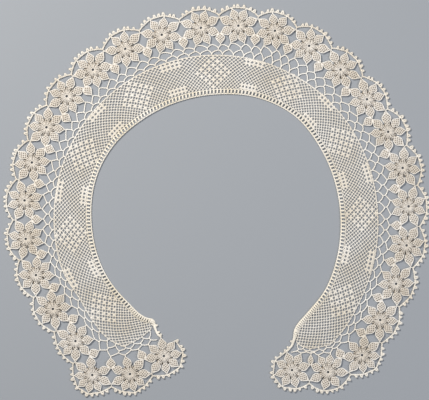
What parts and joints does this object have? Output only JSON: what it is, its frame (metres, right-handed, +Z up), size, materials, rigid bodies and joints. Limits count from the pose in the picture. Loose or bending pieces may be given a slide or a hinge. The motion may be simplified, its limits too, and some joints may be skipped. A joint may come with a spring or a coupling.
{
  "type": "lace collar",
  "caption": "Crocheted cotton lace collar laid flat: a curved filet net band with a ladder neck edging, chain arches, a row of round flowers with small leaves, and a picot edge.",
  "frame": {"origin": "middle of the bounding box of the laid collar, on the surface that it lies on", "axes": "+Z up out of the laid face, +Y to the centre back of the neck, +X to the front end on the right as seen from above"},
  "size_m": [0.3542, 0.3254, 0.0021],
  "materials": {
    "net_cotton": "cream cotton filet net",
    "arch_cotton": "cream cotton crochet chain",
    "motif_cotton": "matt cream cotton, close needle stitches",
    "picot_cotton": "cream cotton crochet chain"
  },
  "bodies": {
    "root": {"net_band": "net_cotton", "chain_arches": "arch_cotton", "picot_edging": "picot_cotton", "flower_01": "motif_cotton", "flower_02": "motif_cotton", "flower_03": "motif_cotton", "flower_04": "motif_cotton", "flower_05": "motif_cotton", "flower_06": "motif_cotton", "flower_07": "motif_cotton", "flower_08": "motif_cotton", "flower_09": "motif_cotton", "flower_10": "motif_cotton", "flower_11": "motif_cotton", "flower_12": "motif_cotton", "flower_13": "motif_cotton", "flower_14": "motif_cotton", "flower_15": "motif_cotton", "flower_16": "motif_cotton", "flower_17": "motif_cotton", "flower_18": "motif_cotton", "flower_19": "motif_cotton", "flower_20": "motif_cotton", "flower_21": "motif_cotton", "flower_22": "motif_cotton", "flower_23": "motif_cotton", "flower_24": "motif_cotton", "flower_25": "motif_cotton", "flower_26": "motif_cotton", "flower_27": "motif_cotton", "flower_28": "motif_cotton", "flower_29": "motif_cotton", "leaf_01": "motif_cotton", "leaf_02": "motif_cotton", "leaf_03": "motif_cotton", "leaf_04": "motif_cotton", "leaf_05": "motif_cotton", "leaf_06": "motif_cotton", "leaf_07": "motif_cotton", "leaf_08": "motif_cotton", "leaf_09": "motif_cotton", "leaf_10": "motif_cotton", "leaf_11": "motif_cotton", "leaf_12": "motif_cotton", "leaf_13": "motif_cotton", "leaf_14": "motif_cotton", "leaf_15": "motif_cotton", "leaf_16": "motif_cotton", "leaf_17": "motif_cotton", "leaf_18": "motif_cotton", "leaf_19": "motif_cotton", "leaf_20": "motif_cotton", "leaf_21": "motif_cotton", "leaf_22": "motif_cotton", "leaf_23": "motif_cotton", "leaf_24": "motif_cotton", "leaf_25": "motif_cotton", "leaf_26": "motif_cotton", "leaf_27": "motif_cotton", "leaf_28": "motif_cotton"}
  },
  "joints": []
}
